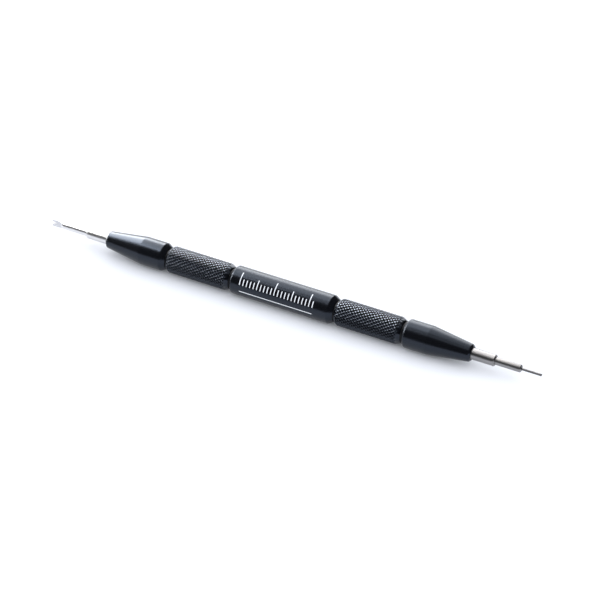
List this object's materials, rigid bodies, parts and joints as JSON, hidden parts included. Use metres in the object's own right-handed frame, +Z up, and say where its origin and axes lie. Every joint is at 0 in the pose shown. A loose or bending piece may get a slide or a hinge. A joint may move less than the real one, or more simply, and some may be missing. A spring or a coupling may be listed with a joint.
{
  "type": "spring bar tool",
  "caption": "Slim black two-ended watch tool: knurled handle with a stepped fork tip at one end and a fine push pin at the other.",
  "frame": {"origin": "on the surface the tool lies on, below the middle of the tool's length", "axes": "+X along the tool from the fork tip to the push pin, +Z up from the surface"},
  "size_m": [0.1414, 0.0074, 0.0075],
  "materials": {
    "barrel": "black anodised, satin",
    "grip": "black anodised, diamond knurled",
    "nose": "black anodised, satin",
    "stud": "machined stainless steel",
    "washer": "black nylon",
    "bush": "machined brass",
    "tip_holder": "satin nickel plate over steel",
    "fork_steel": "ground hardened steel",
    "pin_steel": "drawn tempered steel wire",
    "mark": "white filled engraving"
  },
  "bodies": {
    "handle": {"centre_barrel": "barrel", "fork_grip": "grip", "pin_grip": "grip", "fork_barrel_stud": "stud", "pin_barrel_stud": "stud", "fork_nose_stud": "stud", "pin_nose_stud": "stud", "fork_barrel_washer": "washer", "pin_barrel_washer": "washer"},
    "fork_nose_washer": {"fork_nose_washer": "washer"},
    "fork_nose": {"fork_nose": "nose", "fork_tip_bush": "bush"},
    "fork_tip_washer": {"fork_tip_washer": "washer"},
    "fork_tip": {"fork_tip_socket": "tip_holder", "fork_blade": "fork_steel"},
    "pin_nose_washer": {"pin_nose_washer": "washer"},
    "pin_nose": {"pin_nose": "nose", "pin_tip_bush": "bush"},
    "pin_tip_washer": {"pin_tip_washer": "washer"},
    "pin_tip": {"pin_tip_socket": "tip_holder", "pin_carrier": "tip_holder", "push_pin": "pin_steel", "pin_backing_screw": "stud"}
  },
  "joints": [
    {"name": "fork_nose_turn", "type": "hinge", "parent": "handle", "child": "fork_nose_washer", "pos_m": [0, 0, 0.00375], "axis": [-1, 0, 0], "range_deg": [0, 2520]},
    {"name": "fork_nose_travel", "type": "slide", "parent": "fork_nose_washer", "child": "fork_nose", "axis": [-1, 0, 0], "range_m": [0, 0.0049]},
    {"name": "fork_tip_turn", "type": "hinge", "parent": "fork_nose", "child": "fork_tip_washer", "pos_m": [0, 0, 0.00375], "axis": [-1, 0, 0], "range_deg": [0, 3960]},
    {"name": "fork_tip_travel", "type": "slide", "parent": "fork_tip_washer", "child": "fork_tip", "axis": [-1, 0, 0], "range_m": [0, 0.00495]},
    {"name": "pin_nose_turn", "type": "hinge", "parent": "handle", "child": "pin_nose_washer", "pos_m": [0, 0, 0.00375], "axis": [1, 0, 0], "range_deg": [0, 2520]},
    {"name": "pin_nose_travel", "type": "slide", "parent": "pin_nose_washer", "child": "pin_nose", "axis": [1, 0, 0], "range_m": [0, 0.0049]},
    {"name": "pin_tip_turn", "type": "hinge", "parent": "pin_nose", "child": "pin_tip_washer", "pos_m": [0, 0, 0.00375], "axis": [1, 0, 0], "range_deg": [0, 3960]},
    {"name": "pin_tip_travel", "type": "slide", "parent": "pin_tip_washer", "child": "pin_tip", "axis": [1, 0, 0], "range_m": [0, 0.00495]}
  ],
  "couplings": [
    {"joint": "fork_nose_turn", "follows": "fork_nose_travel", "rad_per_m": 8976},
    {"joint": "fork_tip_turn", "follows": "fork_tip_travel", "rad_per_m": 13963},
    {"joint": "pin_nose_turn", "follows": "pin_nose_travel", "rad_per_m": 8976},
    {"joint": "pin_tip_turn", "follows": "pin_tip_travel", "rad_per_m": 13963}
  ]
}
